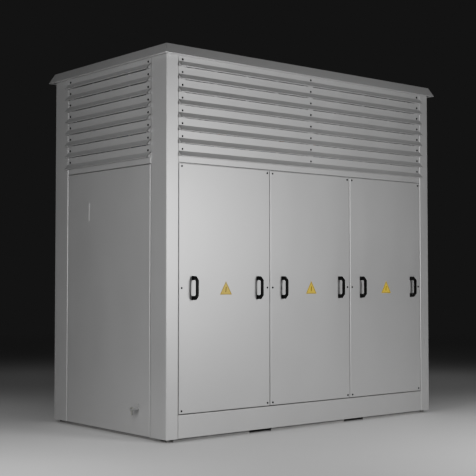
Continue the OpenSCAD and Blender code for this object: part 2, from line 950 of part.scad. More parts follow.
module winding_blocks() {
    mid = winding_z + winding_h / 2;
    color([0.85, 0.83, 0.75])
        for (i = [-1:1], s = [-1, 1], f = [0, 1], top = [0, 1])
            translate([i * limb_pitch + s * block_x, 0, 0])
                mirror([0, f, 0]) translate([0, 0, top * 2 * mid]) mirror([0, 0, top]) winding_block();
}

function terminal_zs() = [hv_z + terminal_end, hv_z + hv_h - terminal_end];

// Distance of a terminal's face beyond the winding's rib
function boss_reach(i, top) = boss_l + ((i == 1 && top == 1) || (i == -1 && top == 0) ? link_step : 0);

module hv_terminals() {
    tap_xs = [-18, 18];
    tap_zs = [-40, 0, 40];
    stud_l = link_t + fit_gap + stud_nut_h + stud_free;
    color([0.8, 0.6, 0.3]) {
        for (i = [-1:1], top = [0, 1]) translate([i * limb_pitch, -rib_y, terminal_zs()[top]]) {
            translate([0, -boss_reach(i, top), 0]) along_y(boss_r, boss_reach(i, top));
            translate([0, -boss_reach(i, top) - stud_l, 0]) along_y(stud_r, stud_l + eps);
            translate([0, -boss_reach(i, top) - link_t - fit_gap, 0])
                rotate([90, 0, 0]) cylinder(r = stud_nut_r, h = stud_nut_h, $fn = 6);
        }
        for (i = [-1:1], x = tap_xs, z = tap_zs)
            translate([i * limb_pitch + x, -rib_y - 14, hv_z + hv_h / 2 + z]) along_y(8, 14);
    }
}

// Flat link between two terminals, from the top of phase a to the bottom of phase b
module hv_link(a, b) {
    zs = terminal_zs();
    dx = (b - a) * limb_pitch;
    dz = zs[0] - zs[1];
    l = sqrt(dx * dx + dz * dz);
    y = -rib_y - boss_reach(a, 1);
    translate([a * limb_pitch, y, zs[1]]) rotate([90, 0, 0]) linear_extrude(link_t) difference() {
        union() {
            circle(link_eye_r);
            translate([dx, dz]) circle(link_eye_r);
            rotate(atan2(dz, dx)) translate([0, -link_w / 2]) square([l, link_w]);
        }
        circle(stud_r + fit_gap);
        translate([dx, dz]) circle(stud_r + fit_gap);
    }
}

module hv_links() {
    color([0.75, 0.5, 0.25]) {
        hv_link(-1, 0);
        hv_link(0, 1);
        hv_link(1, -1);
    }
}

// Terminal holes at the top of a busbar
module bar_holes(x) {
    for (z = [bar_hole_end, bar_hole_end + bar_hole_pitch])
        translate([x, bar_y - eps, bar_top - z]) along_y(bar_hole_r, bar_t + 2 * eps);
}

module lv_busbars() {
    color([0.78, 0.48, 0.25]) {
        for (i = [-1:1]) difference() {
            translate([i * limb_pitch - bar_w / 2, 0, 0]) {
                translate([0, bar_start_y, winding_top]) cube([bar_w, bar_y + bar_t - bar_start_y, bar_t]);
                translate([0, bar_y, winding_top]) cube([bar_w, bar_t, bar_top - winding_top]);
            }
            bar_holes(i * limb_pitch);
        }
        difference() {
            union() {
                for (i = [-1:1])
                    translate([i * limb_pitch - bar_w / 2, bar_start_y, winding_z - bar_t])
                        cube([bar_w, bar_y + bar_t - bar_start_y, bar_t]);
                translate([-limb_pitch - bar_w / 2, bar_y, winding_z - neutral_h])
                    cube([limb_pitch + neutral_x + bar_w, bar_t, neutral_h]);
                translate([neutral_x - bar_w / 2, bar_y, winding_z - neutral_h])
                    cube([bar_w, bar_t, bar_top - winding_z + neutral_h]);
            }
            bar_holes(neutral_x);
        }
    }
}

module busbar_insulators() {
    y0 = core_half_d + clamp_t;
    color([0.5, 0.16, 0.12])
        for (x = [-limb_pitch, 0, limb_pitch, neutral_x])
            translate([x, y0, clamp_top_z + clamp_h / 2]) along_y(insulator_r, bar_y - y0);
}

// Chassis beam with a fork over each roller
module bogie() {
    fork_in = roller_w / 2 + fork_gap;
    difference() {
        union() {
            translate([-bogie_w / 2, -bogie_l / 2, bogie_z]) cube([bogie_w, bogie_l, bogie_h]);
            for (y = [-gauge / 2, gauge / 2], s = [-1, 1])
                translate([-bogie_w / 2 + 10, y + s * (fork_in + fork_t / 2) - fork_t / 2, axle_z - fork_low])
                    cube([bogie_w - 20, fork_t, bogie_z - axle_z + fork_low + eps]);
        }
        translate([-bogie_w / 2 + frame_t * 2, -bogie_l / 2 - eps, bogie_z + frame_t * 2])
            cube([bogie_w - frame_t * 4, bogie_l + 2 * eps, bogie_h - frame_t * 4]);
        for (y = [-gauge / 2, gauge / 2])
            translate([0, y - roller_w, axle_z]) along_y(axle_r + run_gap, 2 * roller_w);
    }
}

module bogies() {
    color(frame_grey) for (s = [-1, 1]) translate([s * gauge / 2, 0, 0]) bogie();
}

module roller_axles() {
    fork_out = roller_w / 2 + fork_gap + fork_t;
    collar = 4;
    color(steel) for (x = [-gauge / 2, gauge / 2], y = [-gauge / 2, gauge / 2])
        translate([x, y, axle_z]) {
            translate([0, -fork_out - collar, 0]) along_y(axle_r, 2 * (fork_out + collar));
            for (s = [-1, 1])
                translate([0, s * (fork_out + collar / 2) - collar / 2, 0]) along_y(axle_r + 4, collar);
        }
}

// One roller, centred on its axle
module roller(x, y) {
    hub_r = 22;
    rim = 13;
    web = 14;
    bore = axle_r + run_gap;
    color(steel) translate([x, y, axle_z]) rotate([90, 0, 0]) rotate_extrude() {
        translate([bore, -roller_w / 2]) square([hub_r - bore, roller_w]);
        translate([hub_r, -web / 2]) square([roller_r - rim - hub_r, web]);
        translate([roller_r - rim, -roller_w / 2]) square([rim, roller_w]);
    }
}

module roller_front_left() { roller(-gauge / 2, -gauge / 2); }
module roller_front_right() { roller(gauge / 2, -gauge / 2); }
module roller_rear_left() { roller(-gauge / 2, gauge / 2); }
module roller_rear_right() { roller(gauge / 2, gauge / 2); }

base_frame();
front_corner_posts();
rear_corner_posts();
top_frame();
roof();
front_door_frame();
rear_door_frame();
side_frames();
front_louvre_slats();
rear_louvre_slats();
side_louvre_slats();
louvre_screws();
vent_screens();
left_side_panel();
right_side_panel();
plinth_panels();
door_seals();
gland_plates();
rating_plate();
earth_brackets();
earth_bolts();
roller_rails();
core();
core_clamps();
tie_rods();
lv_windings();
hv_windings();
winding_blocks();
hv_links();
hv_terminals();
lv_busbars();
busbar_insulators();
bogies();
roller_axles();
roller_front_left();
roller_front_right();
roller_rear_left();
roller_rear_right();
front_panel_left();
front_panel_centre();
front_panel_right();
front_handles_left();
front_handles_centre();
front_handles_right();
front_screws_left();
front_screws_centre();
front_screws_right();
warning_label_left();
warning_label_centre();
warning_label_right();
rear_panel_left();
rear_panel_centre();
rear_panel_right();
rear_handles_left();
rear_handles_centre();
rear_handles_right();
rear_screws_left();
rear_screws_centre();
rear_screws_right();
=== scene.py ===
"""Looks of the ventilated transformer housing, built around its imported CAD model."""

import json
import math

import bmesh
import bpy
from mathutils import Matrix, Vector


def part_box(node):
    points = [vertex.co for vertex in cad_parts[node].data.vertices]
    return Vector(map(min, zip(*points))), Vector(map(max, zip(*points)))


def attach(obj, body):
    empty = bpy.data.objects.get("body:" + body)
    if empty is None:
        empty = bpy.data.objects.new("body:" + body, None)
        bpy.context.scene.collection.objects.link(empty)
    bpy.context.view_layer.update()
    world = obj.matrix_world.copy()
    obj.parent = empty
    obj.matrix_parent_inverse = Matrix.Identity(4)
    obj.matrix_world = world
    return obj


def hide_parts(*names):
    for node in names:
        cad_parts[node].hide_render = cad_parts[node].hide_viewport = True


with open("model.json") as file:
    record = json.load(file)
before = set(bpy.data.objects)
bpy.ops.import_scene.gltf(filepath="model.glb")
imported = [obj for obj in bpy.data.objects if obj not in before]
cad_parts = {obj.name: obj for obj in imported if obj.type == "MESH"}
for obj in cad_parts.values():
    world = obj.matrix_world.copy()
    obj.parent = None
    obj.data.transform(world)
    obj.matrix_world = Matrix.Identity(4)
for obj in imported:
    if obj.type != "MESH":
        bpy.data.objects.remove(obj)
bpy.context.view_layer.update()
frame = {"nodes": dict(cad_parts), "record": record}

# ---- Driving sizes, in metres ----

SHEET = 0.002                   # cladding sheet
LOUVRE_COUNT = 8
LOUVRE_PITCH = 0.075
HOOD_DROP = 0.033
HOOD_REACH = 0.031
HOOD_LIP = 0.014
FIT_GAP = 0.0002
BEND_R = 0.003                  # outside radius of the folds of slats and roof
ROOF_TOP_OVERHANG = 0.007
EAVE_LIP = 0.021
ROOF_SHEET = 0.0025
ROOF_CORNER_R = 0.004
HANDLE_W = 0.017
HANDLE_GRIP = 0.0105
HANDLE_FOOT = 0.025
HEAD_EDGE = 0.0058              # middle of an outermost screw from the edge of its set
HEAD_R = 0.0068                 # screw heads
HEAD_H = 0.004
SOCKET_R = 0.0026
DOOR_SHANK_R = 0.003
LOUVRE_SHANK_R = 0.0025
LOUVRE_SHANK_L = 0.01
LABEL_T = 0.0008
EARTH_T = 0.006                 # earth bracket sheet
LOUVRE_SCREW_IN = 0.027         # louvre screws from the ends of a bank
FADE_START = 5.5                # the floor thins out between these distances from the origin
FADE_END = 12.0
FLOOR_R = 14.0

SIDES = {"front": 0.0, "rear": math.pi}
DOORS = ("left", "centre", "right")
MM = 0.001
DUST = (0.42, 0.40, 0.37)
FLOOR_GREY = 0.55
BACKDROP_GREY = 0.0103


# ---- Material helpers ----

class Shader:
    """A Principled material and short calls for the nodes that feed it."""

    def __init__(self, name, color, roughness, metallic=0.0, **settings):
        self.material = bpy.data.materials.new(name)
        self.material.use_nodes = True
        self.nodes = self.material.node_tree.nodes
        self.links = self.material.node_tree.links
        self.bsdf = next(n for n in self.nodes if n.type == "BSDF_PRINCIPLED")
        self.bsdf.inputs["Base Color"].default_value = (*color, 1)
        self.bsdf.inputs["Roughness"].default_value = roughness
        self.bsdf.inputs["Metallic"].default_value = metallic
        for key, value in settings.items():
            self.bsdf.inputs[key.replace("_", " ")].default_value = value
        self.place = self.nodes.new("ShaderNodeTexCoord").outputs["Object"]

    def scaled(self, scale):
        """The object's own coordinates, stretched by a scale for each axis."""
        node = self.nodes.new("ShaderNodeMapping")
        node.inputs["Scale"].default_value = scale
        self.links.new(self.place, node.inputs["Vector"])
        return node.outputs["Vector"]

    def noise(self, scale, detail=2.0, stretch=(1, 1, 1)):
        node = self.nodes.new("ShaderNodeTexNoise")
        node.inputs["Scale"].default_value = scale
        node.inputs["Detail"].default_value = detail
        self.links.new(self.scaled(stretch), node.inputs["Vector"])
        return node.outputs["Fac"]

    def cells(self, scale):
        node = self.nodes.new("ShaderNodeTexVoronoi")
        node.inputs["Scale"].default_value = scale
        self.links.new(self.scaled((1, 1, 1)), node.inputs["Vector"])
        return node

    def remap(self, value, low, high, to_low, to_high):
        node = self.nodes.new("ShaderNodeMapRange")
        for key, number in zip(("From Min", "From Max", "To Min", "To Max"), (low, high, to_low, to_high)):
            node.inputs[key].default_value = number
        self.links.new(value, node.inputs["Value"])
        return node.outputs["Result"]

    def math(self, operation, a, b):
        node = self.nodes.new("ShaderNodeMath")
        node.operation = operation
        for socket, value in zip(node.inputs, (a, b)):
            if isinstance(value, (int, float)):
                socket.default_value = value
            else:
                self.links.new(value, socket)
        return node.outputs["Value"]

    def height(self):
        """Height in the object's own coordinates."""
        node = self.nodes.new("ShaderNodeSeparateXYZ")
        self.links.new(self.place, node.inputs["Vector"])
        return node.outputs["Z"]

    def tint(self, factor, color_a, color_b):
        node = self.nodes.new("ShaderNodeMix")
        node.data_type = "RGBA"
        colors = [s for s in node.inputs if s.type == "RGBA"]
        for socket, value in zip(colors, (color_a, color_b)):
            if isinstance(value, tuple):
                socket.default_value = (*value, 1)
            else:
                self.links.new(value, socket)
        self.links.new(factor, node.inputs["Factor"])
        return next(s for s in node.outputs if s.type == "RGBA")

    def color(self, value):
        self.links.new(value, self.bsdf.inputs["Base Color"])

    def roughness(self, value):
        self.links.new(value, self.bsdf.inputs["Roughness"])

    def bump(self, value, distance, strength=1.0):
        node = self.nodes.new("ShaderNodeBump")
        node.inputs["Distance"].default_value = distance
        node.inputs["Strength"].default_value = strength
        self.links.new(value, node.inputs["Height"])
        self.links.new(node.outputs["Normal"], self.bsdf.inputs["Normal"])

    def fade_out(self, start, end):
        """Lets the surface vanish between two distances from the origin."""
        distance = self.nodes.new("ShaderNodeVectorMath")
        distance.operation = "LENGTH"
        self.links.new(self.place, distance.inputs[0])
        mix = self.nodes.new("ShaderNodeMixShader")
        self.links.new(self.remap(distance.outputs["Value"], start, end, 0.0, 1.0), mix.inputs["Fac"])
        self.links.new(self.bsdf.outputs["BSDF"], mix.inputs[1])
        self.links.new(self.nodes.new("ShaderNodeBsdfTransparent").outputs["BSDF"], mix.inputs[2])
        output = next(n for n in self.nodes if n.type == "OUTPUT_MATERIAL")
        self.links.new(mix.outputs["Shader"], output.inputs["Surface"])


def shade(color, factor):
    return tuple(c * factor for c in color)


# ---- Materials ----

def paint_material(name, color, metallic, roughness, dust_top, dust_share):
    """Satin powder coat: fine orange peel, faint cloudiness, and dust that thins out upwards."""
    s = Shader(name, color, roughness, metallic)
    cloud = s.noise(1.7, 3.0)
    peel = s.noise(420.0, 1.0)
    tone = s.tint(s.remap(cloud, 0.3, 0.7, 0.0, 1.0), shade(color, 0.985), shade(color, 1.015))
    reach = s.remap(s.height(), 0.0, dust_top, dust_share, 0.0)
    dust = s.math("MULTIPLY", reach, s.remap(s.noise(14.0, 5.0), 0.35, 0.7, 0.3, 1.0))
    s.color(s.tint(dust, tone, DUST))
    smear = s.remap(s.noise(5.0, 4.0, (1, 1, 0.35)), 0.3, 0.7, roughness - 0.02, roughness + 0.02)
    s.roughness(s.math("ADD", smear, s.math("MULTIPLY", dust, 0.25)))
    s.bump(peel, 0.00004)
    return s.material


def housing_paint():
    return paint_material("housing_paint", (0.52, 0.52, 0.52), 0.65, 0.46, 0.28, 0.10)


def frame_paint():
    return paint_material("frame_paint", (0.20, 0.20, 0.20), 0.0, 0.6, 0.15, 0.25)


def clamp_paint():
    return paint_material("clamp_paint", (0.055, 0.11, 0.22), 0.0, 0.42, 0.6, 0.15)


def handle_plastic():
    """Glass-filled nylon with a fine spark-eroded grain."""
    s = Shader("handle_plastic", (0.0015, 0.0015, 0.0015), 0.5, Specular_IOR_Level=0.12)
    grain = s.noise(2600.0, 2.0)
    s.roughness(s.remap(grain, 0.3, 0.7, 0.46, 0.58))
    s.bump(grain, 0.00005, 0.6)
    return s.material


def black_fastener():
    """Blackened steel, a little less black on its high spots."""
    s = Shader("black_fastener", (0.003, 0.003, 0.003), 0.55, Specular_IOR_Level=0.15)
    wear = s.noise(700.0, 3.0)
    s.color(s.tint(s.remap(wear, 0.6, 0.8, 0.0, 0.6), (0.003, 0.003, 0.003), (0.02, 0.02, 0.02)))
    s.roughness(s.remap(wear, 0.3, 0.7, 0.48, 0.62))
    return s.material


def label_yellow():
    """Printed vinyl film, a little uneven in gloss."""
    color = (0.60, 0.42, 0.02)
    s = Shader("label_yellow", color, 0.38)
    fleck = s.noise(90.0, 4.0)
    s.color(s.tint(s.remap(fleck, 0.35, 0.65, 0.0, 1.0), shade(color, 0.95), shade(color, 1.04)))
    s.roughness(s.remap(fleck, 0.3, 0.7, 0.32, 0.44))
    return s.material


def label_dark():
    s = Shader("label_dark", (0.03, 0.025, 0.015), 0.45)
    s.roughness(s.remap(s.noise(120.0, 3.0), 0.3, 0.7, 0.4, 0.52))
    return s.material


def roller_iron():
    """Machined cast iron with turning marks and a thin film of rust in its pores."""
    s = Shader("roller_iron", (0.17, 0.165, 0.16), 0.45, 0.7)
    pores = s.noise(60.0, 6.0)
    s.color(s.tint(s.remap(pores, 0.58, 0.75, 0.0, 0.7), (0.17, 0.165, 0.16), (0.12, 0.06, 0.035)))
    s.roughness(s.remap(pores, 0.4, 0.75, 0.38, 0.75))
    s.bump(pores, 0.0002, 0.5)
    return s.material


def zinc_sheet():
    """Galvanised sheet with spangle."""
    s = Shader("zinc_sheet", (0.5, 0.51, 0.52), 0.42, 0.9)
    spangle = s.cells(90.0)
    separate = s.nodes.new("ShaderNodeSeparateColor")
    s.links.new(spangle.outputs["Color"], separate.inputs["Color"])
    tone = separate.outputs[0]
    s.color(s.tint(tone, (0.38, 0.39, 0.40), (0.60, 0.61, 0.62)))
    s.roughness(s.remap(tone, 0.0, 1.0, 0.32, 0.52))
    return s.material


def seal_rubber():
    s = Shader("seal_rubber", (0.015, 0.015, 0.015), 0.75)
    grain = s.noise(500.0, 4.0)
    s.roughness(s.remap(grain, 0.3, 0.7, 0.65, 0.85))
    s.bump(grain, 0.0001, 0.6)
    return s.material


def plate_aluminium():
    """Fine brushed plate, grain along its length."""
    color = (0.52, 0.52, 0.52)
    s = Shader("plate_aluminium", color, 0.46, 0.65)
    grain = s.noise(900.0, 3.0, (1, 0.02, 1))
    s.color(s.tint(s.remap(grain, 0.3, 0.7, 0.0, 1.0), shade(color, 0.96), shade(color, 1.02)))
    s.roughness(s.remap(grain, 0.3, 0.7, 0.42, 0.50))
    s.bump(grain, 0.00002, 0.5)
    return s.material


def core_steel():
    """Stacked electrical steel: the edges of its laminations show under clear varnish."""
    s = Shader("core_steel", (0.2, 0.21, 0.225), 0.38, 0.55)
    sheets = s.noise(1.0, 2.0, (3.0, 1800.0, 3.0))
    varnish = s.noise(9.0, 4.0)
    dark = s.tint(s.remap(sheets, 0.35, 0.65, 0.0, 1.0), (0.10, 0.105, 0.11), (0.27, 0.28, 0.30))
    s.color(s.tint(s.remap(varnish, 0.5, 0.8, 0.0, 0.5), dark, (0.16, 0.13, 0.09)))
    s.roughness(s.remap(varnish, 0.3, 0.7, 0.3, 0.5))
    s.bump(sheets, 0.0002, 0.5)
    return s.material


def zinc_steel():
    """Bright zinc plating, faintly clouded."""
    s = Shader("zinc_steel", (0.52, 0.52, 0.50), 0.33, 0.95)
    cloud = s.noise(70.0, 4.0)
    s.color(s.tint(s.remap(cloud, 0.35, 0.65, 0.0, 1.0), (0.44, 0.44, 0.41), (0.58, 0.58, 0.56)))
    s.roughness(s.remap(cloud, 0.3, 0.7, 0.26, 0.42))
    return s.material


def lv_foil():
    """Edges of wound foil under clear resin."""
    s = Shader("lv_foil", (0.5, 0.42, 0.28), 0.3, 0.35, Coat_Weight=0.5, Coat_Roughness=0.15)
    turns = s.noise(1.0, 3.0, (6.0, 6.0, 260.0))
    s.color(s.tint(s.remap(turns, 0.35, 0.65, 0.0, 1.0), (0.36, 0.28, 0.17), (0.60, 0.52, 0.36)))
    s.bump(turns, 0.0004, 0.4)
    return s.material


def hv_resin():
    """Cast filled epoxy: deep red-brown, glossy, with shallow casting waves."""
    s = Shader("hv_resin", (0.22, 0.035, 0.022), 0.3, Coat_Weight=0.4, Coat_Roughness=0.12)
    filler = s.noise(240.0, 5.0)
    flow = s.noise(7.0, 3.0, (1, 1, 0.5))
    body = s.tint(s.remap(flow, 0.3, 0.7, 0.0, 1.0), (0.19, 0.030, 0.020), (0.25, 0.045, 0.028))
    s.color(s.tint(s.remap(filler, 0.6, 0.8, 0.0, 0.4), body, (0.33, 0.10, 0.07)))
    s.roughness(s.remap(flow, 0.3, 0.7, 0.26, 0.38))
    s.bump(flow, 0.002, 0.35)
    return s.material


def block_resin():
    s = Shader("block_resin", (0.62, 0.55, 0.42), 0.5)
    fibre = s.noise(160.0, 5.0, (1, 1, 0.2))
    s.color(s.tint(s.remap(fibre, 0.3, 0.7, 0.0, 1.0), (0.55, 0.48, 0.35), (0.68, 0.61, 0.48)))
    s.bump(fibre, 0.0002, 0.5)
    return s.material


def link_sleeve():
    """Heat-shrink sleeve, satin, faintly rippled."""
    s = Shader("link_sleeve", (0.32, 0.03, 0.02), 0.42)
    ripple = s.noise(180.0, 3.0)
    s.color(s.tint(s.remap(ripple, 0.35, 0.65, 0.0, 1.0), (0.28, 0.026, 0.018), (0.36, 0.036, 0.024)))
    s.bump(ripple, 0.0003, 0.5)
    return s.material


def metal(name, low, high, roughness, grain_stretch):
    """Drawn bar or turned metal: grain in colour and roughness, and dull patches of tarnish."""
    s = Shader(name, high, roughness, 1.0)
    grain = s.noise(500.0, 3.0, grain_stretch)
    patch = s.noise(18.0, 5.0)
    bright = s.tint(s.remap(grain, 0.3, 0.7, 0.0, 1.0), low, high)
    s.color(s.tint(s.remap(patch, 0.55, 0.75, 0.0, 0.6), bright, shade(low, 0.55)))
    s.roughness(s.remap(patch, 0.35, 0.75, roughness - 0.06, roughness + 0.2))
    s.bump(grain, 0.00004, 0.5)
    return s.material


def terminal_brass():
    return metal("terminal_brass", (0.60, 0.42, 0.17), (0.78, 0.57, 0.26), 0.32, (1, 1, 1))


def busbar_copper():
    return metal("busbar_copper", (0.62, 0.28, 0.16), (0.80, 0.40, 0.25), 0.34, (1, 1, 0.03))


def insulator_resin():
    s = Shader("insulator_resin", (0.26, 0.045, 0.03), 0.32, Coat_Weight=0.3, Coat_Roughness=0.15)
    flow = s.noise(60.0, 3.0)
    s.color(s.tint(s.remap(flow, 0.3, 0.7, 0.0, 1.0), (0.23, 0.038, 0.026), (0.30, 0.055, 0.036)))
    s.roughness(s.remap(flow, 0.3, 0.7, 0.27, 0.4))
    return s.material


def all_materials():
    """One material for each slot of the record, under the slot's name."""
    made = {
        f.__name__: f()
        for f in (
            housing_paint, frame_paint, handle_plastic, black_fastener, roller_iron, zinc_sheet,
            seal_rubber, plate_aluminium, core_steel, clamp_paint, zinc_steel, lv_foil, hv_resin,
            block_resin, link_sleeve, terminal_brass, busbar_copper, insulator_resin,
        )
    }
    made["label_film"] = label_yellow()
    made["label_dark"] = label_dark()
    return made


# ---- Mesh helpers ----

def arc_corner(before, corner, after, radius, steps):
    """Points of a rounded corner of an outline."""
    a, b, c = Vector(before), Vector(corner), Vector(after)
    to_a, to_c = (a - b).normalized(), (c - b).normalized()
    half = to_a.angle(to_c) / 2
    back = min(radius / math.tan(half), 0.49 * (a - b).length, 0.49 * (c - b).length)
    r = back * math.tan(half)
    centre = b + (to_a + to_c).normalized() * (r / math.sin(half))
    start, end = b + to_a * back - centre, b + to_c * back - centre
    turn = start.angle_signed(end)
    points = []
    for i in range(steps + 1):
        angle = -turn * i / steps
        x = start.x * math.cos(angle) - start.y * math.sin(angle)
        y = start.x * math.sin(angle) + start.y * math.cos(angle)
        points.append((centre.x + x, centre.y + y))
    return points


def rounded(points, radii, steps=5):
    """A closed outline with its corners rounded by the given radii; 0 keeps a corner sharp."""
    made = []
    for i, point in enumerate(points):
        if radii[i] > 0:
            made += arc_corner(points[i - 1], point, points[(i + 1) % len(points)], radii[i], steps)
        else:
            made.append(point)
    return made


def add_prism(bm, outline, place, x0, x1, edge=0.0, segments=2):
    """Extrudes an outline of (y, z) points from x0 to x1, its two rims bevelled by edge."""
    ends = []
    for x in (x0, x1):
        ends.append([bm.verts.new(place @ Vector((x, y, z))) for y, z in outline])
    n = len(outline)
    for i in range(n):
        bm.faces.new((ends[0][i], ends[0][(i + 1) % n], ends[1][(i + 1) % n], ends[1][i]))
    caps = [bm.faces.new(ends[0][::-1]), bm.faces.new(ends[1])]
    if edge:
        rims = list({e for cap in caps for e in cap.edges})
        bmesh.ops.bevel(bm, geom=rims, offset=edge, segments=segments, profile=0.5, affect="EDGES")


def add_rings(bm, rings):
    """Joins loops with equally many points by quads, and closes the two ends."""
    loops = [[bm.verts.new(p) for p in ring] for ring in rings]
    for low, high in zip(loops, loops[1:]):
        n = len(low)
        for i in range(n):
            bm.faces.new((low[i], low[(i + 1) % n], high[(i + 1) % n], high[i]))
    bm.faces.new(loops[0][::-1])
    bm.faces.new(loops[-1])


def hexagon_radius(angle, apothem):
    sector = math.pi / 3
    return apothem / math.cos((angle + sector / 2) % sector - sector / 2)


def turned_rings(profile, place, points=24):
    """Rings of a turned piece about +Z; a radius given as ("hex", apothem) makes a hexagonal ring."""
    rings = []
    for radius, z in profile:
        ring = []
        for i in range(points):
            angle = 2 * math.pi * i / points
            r = hexagon_radius(angle, radius[1]) if isinstance(radius, tuple) else radius
            ring.append(place @ Vector((r * math.cos(angle), r * math.sin(angle), z)))
        rings.append(ring)
    return rings


def finished(name, bm, slot_name, body, nodes, smooth_angle=35.0, materials=None):
    """Turns a bmesh into a piece that rides on a body and stands for CAD nodes."""
    bmesh.ops.recalc_face_normals(bm, faces=bm.faces[:])
    mesh = bpy.data.meshes.new(name)
    bm.to_mesh(mesh)
    bm.free()
    for polygon in mesh.polygons:
        polygon.use_smooth = True
    mesh.set_sharp_from_angle(angle=math.radians(smooth_angle))
    piece = bpy.data.objects.new(name, mesh)
    bpy.context.scene.collection.objects.link(piece)
    for material in materials or [MATERIALS[slot_name]]:
        mesh.materials.append(material)
    # flat faces keep one normal right up to their bends
    piece.modifiers.new("even_normals", "WEIGHTED_NORMAL").keep_sharp = True
    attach(piece, body)
    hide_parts(*nodes)


def turned(angle):
    return Matrix.Rotation(angle, 4, "Z")


# ---- Cladding pieces ----

def slat_outline():
    """Section of a louvre slat, lip on z = 0, face on y = 0, outwards along -y."""
    slope = HOOD_DROP / HOOD_REACH
    wall = SHEET * math.sqrt(1 + slope * slope)
    bend_in = wall - SHEET * slope
    top = LOUVRE_PITCH - FIT_GAP
    points = [
        (SHEET, top), (0, top), (0, HOOD_DROP), (-HOOD_REACH, 0), (HOOD_LIP - HOOD_REACH, 0),
        (HOOD_LIP - HOOD_REACH, SHEET), ((SHEET - HOOD_DROP + wall) / slope, SHEET),
        (SHEET, HOOD_DROP - bend_in),
    ]
    return rounded(points, [0, 0, BEND_R, BEND_R / 2, 0, 0, 0, 0])


def slat_cap_outline():
    points = [(0, HOOD_DROP), (-HOOD_REACH, 0), (0, 0)]
    return rounded(points, [0, BEND_R / 2, 0])


def louvre_slats(node, angles, half_length, face):
    """All slats of one node: folded hoods with closed ends."""
    bm = bmesh.new()
    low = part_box(node)[0].z
    for angle in angles:
        for k in range(LOUVRE_COUNT):
            place = turned(angle) @ Matrix.Translation((0, -face, low + k * LOUVRE_PITCH))
            add_prism(bm, slat_outline(), place, -half_length, half_length)
            for x0 in (-half_length, half_length - SHEET):
                add_prism(bm, slat_cap_outline(), place, x0, x0 + SHEET)
    finished(node + "_folded", bm, "housing_paint", "housing", [node], 30.0)


def rectangle_ring(half_x, half_y, z, radius, steps=4):
    """A rounded rectangle, anticlockwise seen from above."""
    ring = []
    for quarter, (sx, sy) in enumerate(((1, 1), (-1, 1), (-1, -1), (1, -1))):
        for i in range(steps + 1):
            angle = math.pi / 2 * (quarter + i / steps)
            x = sx * (half_x - radius) + radius * math.cos(angle)
            y = sy * (half_y - radius) + radius * math.sin(angle)
            ring.append(Vector((x, y, z)))
    return ring


def roof_piece():
    """Folded roof with softly bent edges and welded hips."""
    low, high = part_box("roof")
    post_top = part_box("front_corner_posts")[1].x
    eave = high.x - post_top
    slant = (eave - ROOF_TOP_OVERHANG) / (high.z - low.z)
    wall = ROOF_SHEET * math.sqrt(1 + slant * slant)
    under = high.z - ROOF_SHEET
    lip_z = low.z + ROOF_SHEET

    def inner(z):
        return ROOF_TOP_OVERHANG + (high.z - z) * slant - wall

    section = [
        (0.0, high.z), (ROOF_TOP_OVERHANG, high.z), (eave, low.z), (eave - EAVE_LIP, low.z),
        (eave - EAVE_LIP, lip_z), (inner(lip_z), lip_z), (inner(under), under), (0.0, under),
    ]
    outline = rounded(section, [0, BEND_R, BEND_R / 2, 0, 0, 0, 0, 0], 4)
    bm = bmesh.new()
    half_y = high.y - eave
    rings = [rectangle_ring(post_top + o, half_y + o, z, ROOF_CORNER_R) for o, z in outline]
    add_rings(bm, rings)
    finished("roof_folded", bm, "housing_paint", "housing", ["roof"], 25.0)


# ---- Door furniture ----

def handle_outline(height, stand):
    """Section of a bridge handle, foot on y = 0, outwards along -y, middle on z = 0."""
    h = height / 2
    chamfer = stand - HANDLE_FOOT
    inner = h - HANDLE_FOOT
    grip_in = stand - HANDLE_GRIP
    points = [
        (0, -h), (-HANDLE_FOOT, -h), (-stand, chamfer - h), (-stand, h - chamfer),
        (-HANDLE_FOOT, h), (0, h), (0, inner), (-grip_in, inner), (-grip_in, -inner), (0, -inner),
    ]
    soft, tight = 9 * MM, 5 * MM
    return rounded(points, [0, soft, soft, soft, soft, 0, 0, tight, tight, 0], 6)


def handles(side, door):
    low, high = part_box(f"front_handles_{door}")
    outline = handle_outline(high.z - low.z, high.y - low.y)
    bm = bmesh.new()
    for x in (low.x, high.x - HANDLE_W):
        place = turned(SIDES[side]) @ Matrix.Translation((x, high.y, (low.z + high.z) / 2))
        add_prism(bm, outline, place, 0, HANDLE_W, 3 * MM, 4)
    node = f"{side}_handles_{door}"
    finished(node + "_moulded", bm, "handle_plastic", f"{side}_door_{door}", [node], 40.0)


def screw_profile(shank_r, shank_l):
    """Domed socket head on z = 0 and below, shank above it."""
    return [
        (("hex", SOCKET_R * 0.3), -HEAD_H * 0.45), (("hex", SOCKET_R), -HEAD_H * 0.45),
        (("hex", SOCKET_R), -HEAD_H), (SOCKET_R * 1.35, -HEAD_H), (HEAD_R * 0.62, -HEAD_H * 0.93),
        (HEAD_R * 0.85, -HEAD_H * 0.68), (HEAD_R * 0.97, -HEAD_H * 0.36), (HEAD_R, 0),
        (shank_r, 0), (shank_r, shank_l - 0.4 * shank_r), (shank_r * 0.7, shank_l),
    ]


def add_screw(bm, place, shank_r, shank_l):
    """Screw pointing along +y of its place, head outwards."""
    stand = place @ Matrix.Rotation(-math.pi / 2, 4, "X")
    add_rings(bm, turned_rings(screw_profile(shank_r, shank_l), stand, 18))


def door_screws(side, door):
    """Three screws at each upright edge of a door."""
    low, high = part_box(f"front_screws_{door}")
    face = low.y + HEAD_H
    bm = bmesh.new()
    for x in (low.x + HEAD_EDGE, high.x - HEAD_EDGE):
        for z in (low.z + HEAD_EDGE, (low.z + high.z) / 2, high.z - HEAD_EDGE):
            place = turned(SIDES[side]) @ Matrix.Translation((x, face, z))
            add_screw(bm, place, DOOR_SHANK_R, high.y - face)
    node = f"{side}_screws_{door}"
    finished(node + "_domed", bm, "black_fastener", f"{side}_door_{door}", [node], 30.0)


